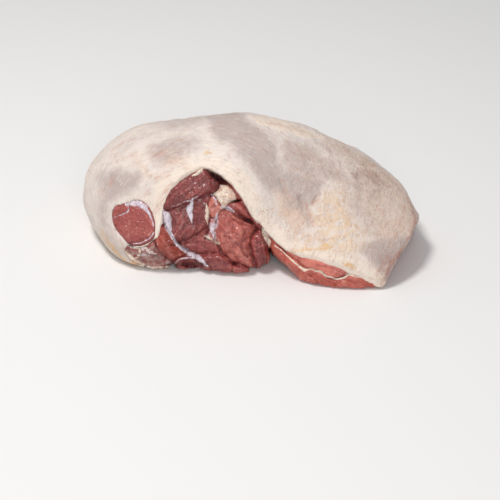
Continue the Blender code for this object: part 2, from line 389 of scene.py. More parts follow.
# top: depth of the muscle's highest part below the fat. fall: how much lower its border lies.
# roll: width of the border that rolls down. tone: -1 dark to 1 pink. grain: its fibres' direction.
# rough: how lumpy it is. The rest are how much silver skin, fat, membrane and brownish red show on it.
Muscle = namedtuple("Muscle", "outline top fall roll tone grain rough silver fat veil ruddy",
                    defaults=(0, 0, 0.4, 0, 0, 0, 0))
FIRST_LOOK = Muscle._fields.index("tone")
BED = Muscle((), BED_DEPTH, 0, 0, tone=-0.8, rough=0.3)
UNDER_LIP = Muscle((), FAT_THICKNESS + 0.4, 0.9, 2.2, tone=-0.2, grain=30, rough=0.3)
MUSCLES = {
    "slab": Muscle(
        ((-73, 33), (-67, 44), (-58, 54), (-48, 61), (-37, 68), (-31, 62), (-27, 54), (-28, 47.5),
         (-38, 45), (-46, 41), (-54, 38), (-63, 34.5)),
        1.4, 1.6, 2.6, tone=-0.75, grain=38, rough=0.9),
    "centre": Muscle(
        ((-72, 31), (-62, 35), (-53, 38.5), (-44, 42), (-36, 46), (-30, 47), (-33, 38), (-33, 28),
         (-35, 20), (-43, 15.5), (-49, 11), (-57, 8), (-62, 10), (-66, 17), (-69, 25)),
        5.2, 1.2, 2.4, tone=-0.75, grain=62, rough=0.8),
    "low": Muscle(
        ((-64, 12), (-50, 16), (-36, 20), (-27, 14), (-20, 0), (-14, -7), (-24, -12), (-36, -11), (-46, -4),
         (-57, 3)),
        8, 2, 5, tone=-0.2, grain=5, rough=1.2),
    "corner": Muscle(
        ((-76.5, 13), (-72, 19), (-67.5, 15), (-62, 6.5), (-55, -1.5), (-48, -6), (-58, -8), (-68, -6),
         (-75, -1), (-78, 6)),
        1, 3.2, 6, tone=-0.85, grain=-50, rough=1.1, ruddy=0.6),
    "facet": Muscle(
        ((-33, 41), (-26, 43), (-20, 37), (-20.5, 32), (-25, 27), (-31, 26), (-34, 34)),
        6, 1.4, 3, tone=0.65, grain=40, rough=1.1, veil=0.25),
    "silver bed": Muscle(
        ((-33, 27), (-25, 28), (-25, 18), (-27, 10), (-24, 5), (-31, 7), (-37, 9), (-34, 16)),
        7.2, 1, 3, tone=0.1, grain=80, rough=1.1, silver=0.5),
    "fat scrap": Muscle(
        ((-31, 46), (-25, 49.5), (-17, 53), (-10, 47.5), (-7.5, 42.5), (-12.5, 39), (-17, 37.5), (-22, 33),
         (-26, 38), (-27, 42.5)),
        4.4, 2.4, 4.5, tone=0.5, rough=2.2, fat=0.8),
    "slit muscle": Muscle(
        ((-18, 37), (-9.5, 39), (-1, 33.5), (4, 26), (0, 22.5), (-6, 24), (-13, 28.5)),
        3.6, 4, 5, tone=-0.1, grain=-35, rough=0.7),
    "pink lobe": Muscle(
        ((-25, 30), (-19.5, 32), (-12.5, 28.5), (-5, 24), (2, 23), (7, 20), (4, 16), (1.5, 12), (0, 3.5),
         (3, -5.5), (5, -14), (1, -16), (-6, -14.5), (-14, -9), (-19.5, -2), (-25.5, 7), (-27, 17)),
        0.2, 6.5, 11, tone=0.38, grain=-60, rough=1.9, veil=0.08),
    "side lobe": Muscle(
        ((7.5, 21), (11.5, 15), (15, 7), (16.5, -1), (15.5, -9), (12, -15), (4, -16.5), (1, -4.5),
         (1, 7.5)),
        1.2, 5.5, 8, tone=-0.5, grain=-75, rough=1.9),
    "low lump": Muscle(
        ((-50, -8), (-30, -5), (-20, -7), (-13, -11), (-8, -16), (-12, -30), (-26, -34), (-50, -32),
         (-54, -16)),
        0.9, 3, 5, tone=-0.5, grain=10, rough=1.3),
    "nub": Muscle(
        ((-12, -11), (-1, -15), (2, -24), (-8, -28), (-16, -20)),
        -0.6, 3, 4, tone=-0.1, rough=1),
    "foot": Muscle(
        ((-60, -8), (-50, -4), (-40, -9), (-30, -14), (-30, -36), (-60, -36), (-63, -18)),
        0, 3, 5, tone=-0.6, grain=5, rough=1),
    "membrane": Muscle(
        ((-112, 4), (-96, 7), (-84, 9), (-77, 8), (-72, -4), (-66, -12), (-66, -36), (-112, -36),
         (-118, -10)),
        1.2, 1.4, 4, tone=-0.5, grain=-15, rough=1.3, silver=0.1, fat=0.1, veil=0.9),
    "flap foot": Muscle(
        ((10, 22), (13, 15), (19, 10), (27, 2), (34, -6), (43, -12), (56, -16), (66, -21), (80, -18),
         (93, -22), (106, -29), (110, -60), (16, -60), (16, 0)),
        2.4, 2.2, 5, tone=0.35, grain=-30, rough=1.4, ruddy=0.65),
    "flap round": Muscle(
        ((29, 0), (44, -5), (56, -8.5), (68, -12), (75, -15.5), (76.5, -19), (73, -21.8), (66, -22),
         (60, -20), (55, -17), (48, -15), (40, -10)),
        2.4, 1.2, 2.5, tone=0.9, grain=-15, rough=0.5),
}

# Bands of silver skin and fat: places with half widths, how far they stand proud, silver, fat. A band that
# sinks in is a groove, with painted shade in it.
Band = namedtuple("Band", "line lift silver fat", defaults=(0, 0))
BANDS = {
    "long band": Band(((-71, 33, 0.5), (-68, 28, 3.2), (-66, 20, 2.7), (-63.8, 12.5, 1.3), (-58, 4, 1.3),
         (-50, -2, 1.9), (-42, -6.5, 2.3), (-34, -13, 0.6)), 1.3, 1, 0.15),
    "slab foot": Band(((-64, 34.5, 0.2), (-56, 37, 0.5), (-48, 40, 0.6), (-41, 43, 0.4)), 0.3, 0.6, 0.2),
    "diamond": Band(((-45.5, 42, 0.3), (-47.5, 37, 1.6), (-48.5, 31.5, 2.3),
         (-46.5, 21.5, 0.4)), 0.7, 1, 0.1),
    "diamond fibres": Band(((-44, 38, 0.3), (-40, 39.5, 1.2), (-36, 37, 0.7)), 0.3, 0.5, 0.45),
    "strip": Band(((-35, 37, 0.6), (-34, 31, 1.8), (-34.5, 25, 1.5), (-34, 20.5, 0.6)), 0.9, 0.4, 0.75),
    "lilac": Band(((-26, 30, 0.7), (-27.5, 23, 2.3), (-30, 16, 2.8), (-28, 9, 1.5)), 0.5, 0.7, 0.25),
    "beside slit": Band(((-24, 34, 0.6), (-19, 34.5, 1.6), (-13, 31, 0.8)), 0.8, 0.85, 0.2),
    "scrap strand": Band(((-31, 45, 0.5), (-28, 41, 0.8), (-27, 36, 0.5)), 0.6, 0.8, 0.2),
    "scraps": Band(((-36, 11, 0.8), (-32, 8.5, 1.5), (-25, 5, 0.8)), 0.8, 0.4, 0.7),
    "hole rim": Band(((-61, -11, 0.4), (-56, -7.5, 0.6), (-48, -6.8, 0.6), (-40, -9, 0.6),
         (-37, -12.5, 0.4)), 0.8, 0.75, 0.3),
    "hole foot": Band(((-59, -15, 0.3), (-50, -16, 0.5), (-41, -14.5, 0.3)), 0.5, 0.7, 0.2),
    "gap scrap": Band(((10, 17, 0.8), (12.2, 12.5, 2), (14.6, 7.5, 1.9), (15.4, 3.5, 1)), 1.2, 0.2, 1),
    "corner fold": Band(((-73, 9, 0.5), (-71.5, 2, 1), (-67, -2.5, 0.6)), 0.9, 0, 0.25),
    "apex chips": Band(((-46, 60, 0.5), (-42, 61.5, 1.4), (-39, 64, 1.3), (-38, 66, 0.8)), 1.2, 0.1, 0.9),
    "veil strand": Band(((-98, 5, 0.8), (-94, 3, 1.6), (-89, 2, 1.4), (-85, 1, 2), (-81, -1.5, 1.6),
         (-76, -2.5, 0.8)), 1, 0.6, 0.55),
    "veil branch": Band(((-91, 2, 0.8), (-89, -2, 1.3), (-91, -6, 1.2), (-95, -8, 0.8)), 0.9, 0.3, 0.6),
    "veil lump": Band(((-92, -2, 0.6), (-87, -3.5, 1.2), (-81, -4.5, 0.8)), 0.9, 0.5, 0.2),
    "veil side": Band(((-106, 2, 0.8), (-102, -2, 2), (-98, -6, 2.2), (-92, -10, 1.8),
         (-86, -12, 0.8)), 0.9, 0, 0.9),
    "veil foot": Band(((-91, -12, 0.8), (-84, -14, 1.5), (-75, -15, 1.7), (-65, -13, 0.8)), 0.9, 0.1, 0.6),
    "seam": Band(((19.5, 4, 0.3), (26, -1, 0.4), (31.5, -6.5, 0.5), (37.5, -12, 0.6), (42, -15.5, 1.1),
         (46.5, -15.3, 0.6), (52, -16.3, 0.8), (55.5, -17.3, 0.9), (61, -20.8, 0.7), (66.5, -22.5, 0.6),
         (72, -22.7, 0.6), (75.5, -21.3, 0.8), (78, -19, 1.2), (84, -20.5, 1),
         (92, -22.5, 0.7)), 0.7, 0.1, 1),
    "lobe crease": Band(((8, 20, 0.8), (4.5, 16, 1.2), (1, 11, 1.3), (0, 3.5, 1), (3, -5.5, 1),
         (5, -15, 0.8)), -1.1),
    "lobe fold": Band(((-16, 27, 0.6), (-9.5, 22.5, 1.4), (-2.5, 20, 1.4), (5.5, 19, 0.8)), -1.1),
    "lobe groove": Band(((-22.5, 12, 0.5), (-15, 9, 1.2), (-7, 1, 1.2), (-1.5, -6, 0.8)), -0.9),
    "lobe branch": Band(((1, 12, 0.8), (-5, 8, 1.1), (-7, 1, 0.8)), -0.9),
    "flap furrow": Band(((45, -18, 0.6), (50, -22, 1), (55, -27, 0.6)), -0.9),
}

# Pits that sink into the lean: place, radii, turn, depth (mm), and how dark the painted shade in them is.
Pit = namedtuple("Pit", "centre radii turn depth dark")
PITS = (
    Pit((-25.5, 59.5), (10.5, 3.8), -36, 13, 1),
    Pit((-28, 51), (6, 3), -50, 3, 0.3),
    Pit((-11, 39.5), (4.5, 0.9), 6, 7, 1),
    Pit((-50, -11), (8.5, 2.6), -4, 3, 0.8),
    Pit((-86, -8), (6, 2.4), -8, 1, 0.25),
    Pit((-74, -4), (6.5, 2.8), 4, 1, 0.45),
    Pit((-3, 24.5), (9, 1.6), -38, 4, 0.8),
    Pit((-64, -12), (4, 2), 10, 3, 0.9),
    Pit((-56, 6), (10, 1.2), 15, 1.5, 0.4),
    Pit((-24, 0), (7, 1.4), -62, 2.5, 0.6),
    Pit((-12, -11), (6, 1.2), -30, 2, 0.6),
)


def ragged(places, amount, size, seed):
    """The places, each moved a little, so that what is drawn there gets an uneven edge."""
    moves = [fractal(places, size, seed + n) * amount for n in range(2)]
    return places + np.stack(moves, axis=-1)


LOOKS_BLEND = 0.5  # how softly one muscle's looks turn into the next one's
# The crevice where two muscles meet: width and depth (mm), and how dark its painted shade is. Then how dark
# the painted shade in grooves is.
CREVICE_WIDTH, CREVICE_DEPTH, CREVICE_SHADE = 0.6, 0.9, 0.55
GROOVE_SHADE = 0.3
# How far the lumps stand proud for each unit of roughness (mm), and how strongly painted light and shade
# follow them.
LUMP_HEIGHT, LUMP_LIGHT_AND_SHADE = 1.3, 0.45


def lean_depths(places):
    """The depth at the places of the bed, the slope under the lip and each muscle, and their looks."""
    lip_distance, _ = line_distance(MAP, smooth_line(LIP[1:11]))
    slope = UNDER_LIP.top + UNDER_LIP.fall * (lip_distance / UNDER_LIP.roll) ** 2
    depths = [np.full(MAP.shape[:2], BED_DEPTH), slope]
    for item in MUSCLES.values():
        border = 1 + loop_distance(places, item.outline) / item.roll
        depths.append(item.top + item.fall * np.maximum(border, 0) ** 2)
    looks = [item[FIRST_LOOK:] for item in (BED, UNDER_LIP, *MUSCLES.values())]
    return np.array(depths), np.array(looks)


def lumps_and_fibres(grain):
    """The unevenness of the lean: billows, and the fibres that run along the grain."""
    along, across = turned(MAP, grain)
    fibres = np.stack([along * FIBRE_STRETCH, across], axis=-1)
    billows = np.abs(noise(MAP, 8, seed=11)) + 0.8 * np.abs(noise(MAP, 3.7, seed=12)) - 0.5
    return billows + 0.3 * noise(fibres, 1.9, seed=13) + 0.2 * noise(MAP, 2.2, seed=14)


def draw_opening():
    """Draws the depth of the lean below the fat, and the looks of its surface, painted shade included."""
    places = ragged(MAP, amount=0.9, size=7, seed=5)
    uneven = ragged(MAP, amount=0.5, size=6, seed=3)
    frayed = ragged(MAP, amount=0.6, size=4, seed=17)
    bare = loop_distance(uneven, BARE)
    bridge_distance, bridge_width = line_distance(frayed, smooth_line(BANDS["gap scrap"].line))
    gap = np.maximum(loop_distance(uneven, GAP), bridge_width - bridge_distance)

    depths, looks = lean_depths(places)
    nearness = np.exp(-(depths - depths.min(axis=0)) / LOOKS_BLEND)
    nearness /= nearness.sum(axis=0)
    tone, _, rough, silver, fat, veil, ruddy = np.einsum("nij,nk->kij", nearness, looks)
    grain = np.radians(looks[depths.argmin(axis=0), 1])
    first, second = np.partition(depths, 1, axis=0)[:2]
    # Painted shade in the crevice where two muscles meet, which also sinks in a little.
    crevice = np.exp(-(((second - first) / CREVICE_WIDTH) ** 2)) * smooth_step(BED_DEPTH - first, 0.5, 2)
    depth, dark = first + CREVICE_DEPTH * crevice, CREVICE_SHADE * crevice
    # Each pit sinks in and gets painted shade.
    for pit in PITS:
        local = (places - pit.centre) @ turn_matrix((0, 0, pit.turn))[:2, :2] / pit.radii
        share = np.exp(-((local**2).sum(axis=-1)) ** 1.5)
        depth, dark = depth + pit.depth * share, np.maximum(dark, pit.dark * share)
    for band in BANDS.values():
        distance, width = line_distance(frayed, smooth_line(band.line))
        share = np.clip(1 - (distance / width) ** 2, 0, 1)
        depth = depth - band.lift * share
        # A groove gets painted shade; a band that stands proud clears it.
        dark = np.maximum(dark * (1 - share * (band.lift > 0)), -GROOVE_SHADE * band.lift * share)
        reach = np.clip(1.6 - distance / width, 0, 1)
        silver = np.maximum(silver, band.silver * reach)
        fat = np.maximum(fat, band.fat * reach)
    lumps = lumps_and_fibres(grain)
    depth = depth - LUMP_HEIGHT * rough * lumps
    # Painted light and shade on the lumps: their tops paler, the hollows between them darker.
    tone = tone + LUMP_LIGHT_AND_SHADE * lumps
    depth = np.where(bare > 0, np.maximum(depth, FAT_THICKNESS + 0.3), depth)
    OPENING.drawn.update(bare=bare, gap=gap, depth=depth, dark=dark, tone=tone, silver=silver, fat=fat,
                         veil=veil, ruddy=ruddy, grain=grain)


# In the muscle cut across: the line that splits the small muscle off, and the silver skin.
EYE_SPLIT = ((-99, 37, 0.5), (-98, 33, 0.6), (-99, 30.5, 0.5), (-105, 28.5, 0.3), (-112, 25.5, 0.2))
EYE_CRESCENT = ((-100, 36.5, 1.2), (-96, 38, 2.6), (-91, 37.5, 3.2), (-86, 35.5, 2.9), (-82, 31, 1.6),
                (-79, 25, 0.8), (-77.5, 19, 0.4))
EYE_STRIP = ((-77, 14, 0.4), (-80, 10, 0.5), (-84, 7.5, 0.5), (-89, 5.4, 0.4), (-94, 5.2, 0.3))

EYE_FAN = (-98, 31)  # where the small muscle's fibres meet
EYE_FAN_OUTLINE = ((-114, 25), (-114, 38), (-98, 40), (-98, 33), (-99.5, 30.5), (-105, 28))


def draw_eye():
    """Draws how far the muscle cut across at the left lies above its cut, and its looks."""
    places = ragged(MAP, amount=0.4, size=4, seed=21)
    edge = loop_distance(places, EYE)
    split, split_width = line_distance(places, smooth_line(EYE_SPLIT))
    crescent, crescent_width = line_distance(places, smooth_line(EYE_CRESCENT))
    strip, strip_width = line_distance(places, smooth_line(EYE_STRIP))
    height = 0.5 - 1.3 * np.clip(1 + edge / 3, 0, 2) ** 2
    height = height - 0.5 * np.exp(-(split / 0.9) ** 2) - 0.6 * np.exp(-((strip - 0.9) / 0.8) ** 2)
    height = height + 0.18 * fractal(MAP, 1.6, seed=23) + 0.25 * noise(MAP, 6, seed=24)
    silver = 0.76 * np.clip(1.5 - crescent / crescent_width, 0, 1)
    silver = np.maximum(silver, 0.8 * np.clip(1.6 - split / split_width, 0, 1))
    silver = np.maximum(silver, 0.9 * np.clip(1.6 - strip / strip_width, 0, 1))
    below_strip = (places[..., 1] < 11 + 0.35 * (places[..., 0] + 84)) & (strip > 0.5)
    in_fan = -loop_distance(places, EYE_FAN_OUTLINE)
    tone = np.where(below_strip, -0.5, 0.0) - 0.4 * smooth_step(edge, -2.5, 0) + 0.1 * (in_fan > 0)
    OPENING.drawn.update(eye=edge, eye_height=height, eye_silver=silver, eye_tone=tone, eye_fan=in_fan)


CREST = ((24, 92), (44, 88), (62, 80), (84, 66), (86, 54), (60, 55), (38, 58), (27, 66))

# Zones of the fat by what shows there: how strongly, how soft the border is (mm), and the outline.
ZONES = {
    "thin_and_fold_shade": (
        (1, 9, ((-40, 122), (-14, 122), (2, 104), (18, 96), (21, 84), (25, 72), (26, 58), (19, 47), (8, 50),
         (-3, 64), (-15, 86), (-26, 90), (-34, 100))),
        (0.95, 10, ((-123, 60), (-109, 67), (-94, 68), (-88, 60), (-92, 52), (-104, 44), (-116, 36),
         (-115, 18), (-119, 14), (-122, 40))),
        (0.8, 9, ((-82, 84), (-71, 92), (-46, 94), (-38, 86), (-46, 76), (-60, 70), (-76, 68))),
        (0.5, 12, ((-112, 82), (-92, 98), (-60, 108), (-50, 102), (-84, 90), (-100, 78))),
        (0.6, 6, ((-124, 20), (-116, 22), (-106, 10), (-96, 2), (-104, -6), (-118, 4))),
        (1, 7, ((4, 55), (29, 62), (57, 58), (58, 48), (51, 36), (47, 22), (42, 31), (33, 40), (20, 45))),
        (1, 7, ((88, 4), (109, 12), (126, 8), (116, -8), (106, -23), (98, -20), (92, -12))),
        (0.5, 12, ((72, 58), (98, 58), (106, 38), (101, 17), (97, 1), (87, -1), (85, 17), (80, 30))),
        (0.35, 9, ((24, 104), (70, 92), (96, 76), (92, 66), (66, 78), (40, 88))),
        (0.85, 7, ((22, 50), (36, 50), (46, 38), (46, 28), (36, 30), (26, 36))),
        # Painted shade in the fold beside the crease on the flap, laid as the grey of thin fat.
        (0.5, 5, ((44, 40), (56, 42), (56, 32), (50, 24), (44, 30))),
        (0.65, 9, CREST),
        (0.7, 10, ((-84, 108), (-60, 120), (-40, 120), (-36, 104), (-50, 98), (-70, 100))),
    ),
    "warm": (
        (1, 7, ((19, 48), (33, 46), (44, 34), (46, 24), (39, 14), (28, 17), (21, 32))),
        (0.45, 10, ((54, 62), (86, 64), (90, 20), (62, 12), (52, 34))),
        (0.6, 9, CREST),
        (0.7, 7, ((-98, 78), (-84, 72), (-74, 60), (-80, 56), (-90, 66))),
        (0.9, 7, ((-82, 79), (-70, 83), (-54, 78), (-50, 68), (-60, 65), (-72, 68))),
        (0.75, 12, ((60, 100), (100, 80), (140, 50), (142, 20), (124, -8), (104, -30), (96, -20), (94, 4),
         (86, 30), (74, 52), (84, 66), (66, 84))),
        (0.2, 12, ((-130, 60), (-116, 84), (-84, 106), (-60, 114), (-60, 122), (-134, 100))),
        (0.6, 8, ((28, 24), (48, 16), (80, 4), (92, -6), (84, -12), (50, 2), (30, 10))),
    ),
    "meaty": (
        (0.6, 6, ((99, -4), (112, 2), (122, -2), (116, -12), (107, -25), (101, -21))),
        (0.9, 4, ((106, -25), (112, -26), (120, -12), (124, 0), (117, 1), (110, -10))),
        (0.6, 4, ((132, 40), (142, 36), (140, 12), (122, -8), (114, -12), (126, 8), (132, 24))),
        (0.65, 9, ((86, 74), (104, 68), (118, 54), (110, 44), (94, 48), (82, 62))),
    ),
    "cream": (
        (0.9, 4, ((-2, 112), (14, 113), (32, 107), (58, 100), (60, 94), (34, 96), (22, 99), (8, 102))),
        (0.25, 8, ((-56, 114), (-46, 116), (-36, 104), (-24, 92), (-10, 84), (-12, 76), (-28, 82),
         (-44, 96))),
        (0.3, 5, ((-94, 84), (-80, 94), (-66, 97), (-46, 97), (-44, 94), (-66, 92), (-80, 88))),
        (0.8, 7, ((-77, 58), (-62, 60), (-48, 68), (-36, 74), (-22, 77), (-9, 66), (2, 47), (15, 28),
         (31, 12), (17, 14), (-9, 48), (-17, 57), (-36, 68), (-54, 61), (-67, 48), (-74, 35), (-81, 41))),
        (0.9, 5, ((30, 6), (44, 3), (60, 2), (74, -4), (90, -14), (100, -22), (80, -14), (40, -3))),
    ),
    "yellow": (
        (0.85, 8, ((52, 36), (71, 44), (80, 30), (90, 12), (86, 0), (70, 1), (50, 3), (34, 8), (34, 14),
         (48, 14))),
        # Along the board at the lower left: partly the fat's own yellow, partly a painted reflection of a
        # wooden board under the leg.
        (1, 5, ((-124, 14), (-112, 4), (-106, -8), (-92, -14), (-96, -30), (-130, -20))),
    ),
}

# Fine marks on the fat by colour: half width, line on the slope.
MARKS = {
    "gold": (
        (0.4, ((34, -0.5), (42, 0), (44, 2), (46, 0), (54, 0.5), (60, 1), (66, 3))),
        (0.8, ((75, -11), (79, -11.5), (83, -14))),
        (0.8, ((56, 0), (58, 3), (62, 4))),
        (0.6, ((-36, 78), (-32, 78))),
        (0.8, ((-113, 4), (-107, -4), (-101, -9.5), (-93, -11.5), (-87, -10))),
        (0.3, ((-122, 17), (-115, 6), (-110, -2))),
    ),
    "brown": (
        (1.8, ((-73, 33.5), (-70, 42.5), (-64, 50.5))),
        (1.2, ((-76, 30), (-72, 40), (-66.5, 49))),
        (0.9, ((-106, 8), (-102, 0), (-97, -7), (-91, -12))),
        (1.6, ((-77, 77), (-73, 77.5), (-71, 79))),
        (1.3, ((-63, 70), (-60, 71))),
        (1.6, ((-75, 57), (-71, 59), (-66, 61))),
        (1.2, ((-84, 45), (-81, 47))),
        (1.8, ((-113, 53), (-112, 57))),
        (0.6, ((-109, 72), (-103, 75), (-97.5, 77))),
        (0.5, ((-114, 83.5), (-104, 89), (-96, 93))),
        (0.9, ((26, 55), (29, 48), (32, 42))),
        (0.9, ((43, 38), (47, 30), (50, 22))),
        (0.8, ((50, 37), (53, 40), (55, 44))),
        (0.9, ((104, -27), (111, -13), (118, -4), (127, 9), (134, 21), (135, 32), (131, 44))),
        (0.6, ((101, -19), (106, -11), (110, -4))),
        (0.5, ((110, 4), (118, 14), (124, 26), (126, 38))),
        (0.6, ((92, 78), (104, 70), (116, 60), (125, 50))),
        (0.6, ((60, 100), (74, 94), (88, 86))),
        (0.5, ((14, 106), (30, 102), (46, 97))),
    ),
}
MARK_REACH = 4
# The same looks behind the leg, where the chart doesn't reach.
BACK_LOOKS = {"thin_and_fold_shade": 0.4, "warm": 0.3, "meaty": 0, "cream": 0.5, "yellow": 0.2, "gold": -MARK_REACH,
              "brown": -MARK_REACH}


def draw_front():
    """Draws the looks of the fat, from 0 to 1, and how far inside the marks each place lies (mm)."""
    places = ragged(FRONT.places, amount=4, size=16, seed=51)
    for look, zones in ZONES.items():
        covers = [strength * smooth_step(-loop_distance(places, outline), -soft, soft)
                  for strength, soft, outline in zones]
        FRONT.drawn[look] = np.max(covers, axis=0)
    places = ragged(FRONT.places, amount=0.8, size=5, seed=53)
    for look, marks in MARKS.items():
        depths = [width - line_distance(places, smooth_line(line))[0] for width, line in marks]
        FRONT.drawn[look] = np.maximum(np.max(depths, axis=0), -MARK_REACH)


draw_opening()
draw_eye()
draw_front()


# ---- pieces ----
# The box that each piece lies in, and the step of its grid (mm).
GRIDS = {
    "fat_cap": ((-150, -92, -1), (152, 100, 104), 1.35),
    "lean_meat": ((-120, -92, -1), (112, -6, 86), 0.68),
    "eye_muscle": ((-122, -62, 8), (-66, -24, 66), 0.6),
    "end_muscle": ((86, -84, -1), (150, 80, 70), 1.2),
}

# Where the fat swells out or sinks in: place, radii, height.
SWELLS = (
    ((-10, -22, 82), (9, 22, 22), 1.6), ((8, -40, 62), (9, 14, 16), 1.5),
    ((-60, -12, 82), (24, 14, 14), 1.2), ((-84, -2, 86), (20, 12, 12), -1.0),
    ((-104, -6, 72), (16, 16, 18), -1.2), ((20, -27, 75), (20, 14, 14), -1.6),
    ((66, -50, 46), (12, 14, 14), 1.4), ((30, -12, 86), (12, 12, 12), 1.0),
    ((-20, 9, 97), (24, 20, 14), -1.0), ((100, -78, 17), (12, 12, 10), -0.8),
    ((126, 16, 33), (16, 22, 14), 3.0), ((141, 4, 26), (12, 18, 14), -4.5),
)

# Creases in the fat: line on the slope with half widths, depth.
CREASES = (
    (((24, 56, 1.5), (27, 50, 2.5), (31, 42, 1.5)), 1.6),
    (((40, 42, 2.0), (44, 34, 3.5), (48, 24, 3.0), (49, 18, 1.5)), 2.2),
    (((50, 36, 1.5), (54, 42, 2.0)), 1.4),
    (((-113, 60, 3.0), (-112, 46, 4.0), (-116, 30, 4.0)), 1.0),
    (((-76, 29, 1.2), (-73.5, 37, 1.5), (-68.5, 46, 1.5), (-62, 53, 1.2)), 1.1),
)


def swelling(points):
    """How far the fat swells out."""
    total = 0
    for place, radii, lift in SWELLS:
        local = (points - np.array(place, float)) / radii
        total = total + lift * np.exp(-(local**2).sum(axis=-1))
    return total


def inside_end(points, thickness):
    """What lies deeper than this below the fat's outside, leaving the cut at the right end aside."""
    whole = np.maximum(masses(points), plane(points, CORNER_POINT, CORNER_OUT))
    return whole - swelling(points) + thickness


def in_front(points, low=-30, high=0):
    """0 behind the leg and 1 at its front and top."""
    return smooth_step((points - SLOPE_ORIGIN) @ OUT, low, high)


def fat_surface(points):
    """The outside of the fat, with its swells, creases and unevenness."""
    height = swelling(points) + 0.8 * fractal(points, 24, seed=31) + 0.35 * fractal(points, 7, seed=37)
    for line, depth in CREASES:
        distance, width = line_distance(on_slope(points), smooth_line(line))
        height = height - depth * np.exp(-((distance / width) ** 2)) * in_front(points)
    return outer(points) - height * smooth_step(points[..., 2], 0, 12)


# How steeply the fat's cut edge falls at the far left, and how that changes along the leg: from, to, by.
EDGE_FALL = 3.5
EDGE_CHANGES = ((-78, -73, -2.4), (-46, -26, 4.5), (22, 42, -4.75))


def fat_edge(points):
    """How deep the fat's cut edge lies: it slopes down at the left and on the flap, and drops elsewhere."""
    inside = np.where(in_front(points) < 0.5, -LEAN_OVERLAP, -OPENING.read("bare", points))
    x = points[..., 0]
    fall = EDGE_FALL + sum(change * smooth_step(x, low, high) for low, high, change in EDGE_CHANGES)
    depth = np.clip(inside * fall, 0, POCKET_DEPTH)
    return np.where(inside * fall > FAT_THICKNESS + 0.5, np.minimum(depth * 5, POCKET_DEPTH), depth)


def gap_field(points):
    """The gap under the flap, which narrows inwards."""
    inwards = -outer(points)
    sides = OPENING.read("gap", points) + 0.1 * np.maximum(inwards, 0)
    return np.maximum(sides, inwards - GAP_DEPTH)


def fat_field(points):
    """The fat, hollowed where the lean, the eye muscle, the end muscle and the gap lie."""
    solid = smooth_max(fat_surface(points) + fat_edge(points), -points[..., 2] + 0.4, blend=3)
    solid = smooth_max(solid, eye_plane(points), blend=1.2)
    eye_hole = np.maximum(OPENING.read("eye", points) + 0.3, -EYE_DEPTH - 1 - eye_plane(points))
    solid = smooth_max(solid, -eye_hole, blend=0.6)
    end_hollow = np.maximum(inside_end(points, 4.5), -END_DEPTH - plane(points, END_POINT, END_OUT))
    solid = smooth_max(solid, -end_hollow, blend=1)
    return np.maximum(solid, 1 - gap_field(points))


def lean_field(points):
    """The muscles in the opening, down to a flat back that nothing shows."""
    solid = smooth_max(outer(points) + OPENING.read("depth", points), -points[..., 2], blend=3)
    solid = np.maximum(solid, OPENING.read("bare", points) - LEAN_OVERLAP)
    solid = np.maximum(solid, LEAN_BACK - (points - SLOPE_ORIGIN) @ OUT)
    solid = smooth_max(solid, -gap_field(points), blend=3)
    solid = np.maximum(solid, eye_plane(points) + 1.5)
    return np.maximum(solid, 0.6 - OPENING.read("eye", points))


def eye_field(points):
    """The muscle that is cut across at the left."""
    top = eye_plane(points) - OPENING.read("eye_height", points)
    sides = OPENING.read("eye", points) + 0.1
    return smooth_max(np.maximum(top, sides), -EYE_DEPTH - eye_plane(points), blend=0.5)


def end_field(points):
    """The lean inside the fat at the right end, cut off flat a little below the fat."""
    end = plane(points, END_POINT, END_OUT)
    solid = smooth_max(inside_end(points, 4.3), end + 1.2 + 0.4 * fractal(points, 8, seed=41), blend=1.5)
    solid = smooth_max(solid, -points[..., 2] + 0.5, blend=2)
    return np.maximum(solid, -END_DEPTH - end)


def mesh_object(name, vertices, quads, material):
    mesh = bpy.data.meshes.new(name)
    mesh.from_pydata(to_world(vertices).tolist(), [], quads.tolist())
    mesh.shade_smooth()
    mesh.materials.append(material)
    obj = bpy.data.objects.new(name, mesh)
    bpy.context.scene.collection.objects.link(obj)
    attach(obj, "root")
    return obj


def add_looks(obj, **looks):
    """Keeps the looks at the vertices, as attributes that the materials read."""
    for name, values in looks.items():
        values = np.asarray(values, np.float32)
        kind, key = ("FLOAT_VECTOR", "vector") if values.ndim == 2 else ("FLOAT", "value")
        layer = obj.data.attributes.new(name, kind, "POINT")
        layer.data.foreach_set(key, values.ravel())


ROUND_CENTRE = (-42, 18)  # the fat's fibres at the left run round this place
ROUND_RADIUS = 70  # this far from there, they are neither stretched nor squeezed
FLAP_GRAIN = np.radians(60)  # on the flap they run this way
SEAM_HEIGHT = 17  # of the seam of fat between the muscles at the right end


def add_fat(material):
    vertices, quads = skin(fat_field, *GRIDS["fat_cap"])
    hidden = (outer(vertices) < -POCKET_DEPTH + 4) & (gap_field(vertices) > 6) & (vertices[:, 2] > 3)
    vertices, quads = without_hidden(vertices, quads, hidden)
    obj = mesh_object("fat_cap", vertices, quads, material)
    front = in_front(vertices)
    for number, name in enumerate(FRONT.drawn):
        behind = BACK_LOOKS[name] * (1 + 1.4 * fractal(vertices, 40, seed=61 + number))
        add_looks(obj, **{name: behind + front * (FRONT.read(name, vertices) - behind)})
    bare = OPENING.read("bare", vertices)
    ahead = in_front(vertices, 0, 10)
    place = on_slope(vertices)
    away = place - ROUND_CENTRE
    angle = (np.arctan2(away[:, 1], away[:, 0]) + np.pi / 4) % (2 * np.pi)
    add_looks(
        obj,
        edge=np.exp(-(np.maximum(bare, 0) / 9) ** 2) * ahead * smooth_step(vertices[:, 0], -100, -88),
        cut=smooth_step(-bare, 0.2, 1.2) * ahead,
        round=np.stack([angle * ROUND_RADIUS, np.hypot(*away.T), vertices[:, 1]], axis=-1),
        straight=np.stack([*turned(place, FLAP_GRAIN), vertices[:, 1]], axis=-1),
        right=smooth_step(place[:, 0] - 0.3 * place[:, 1], -20, 40),
        under=smooth_step(-vertices[:, 2], -2, -0.6))
    return obj


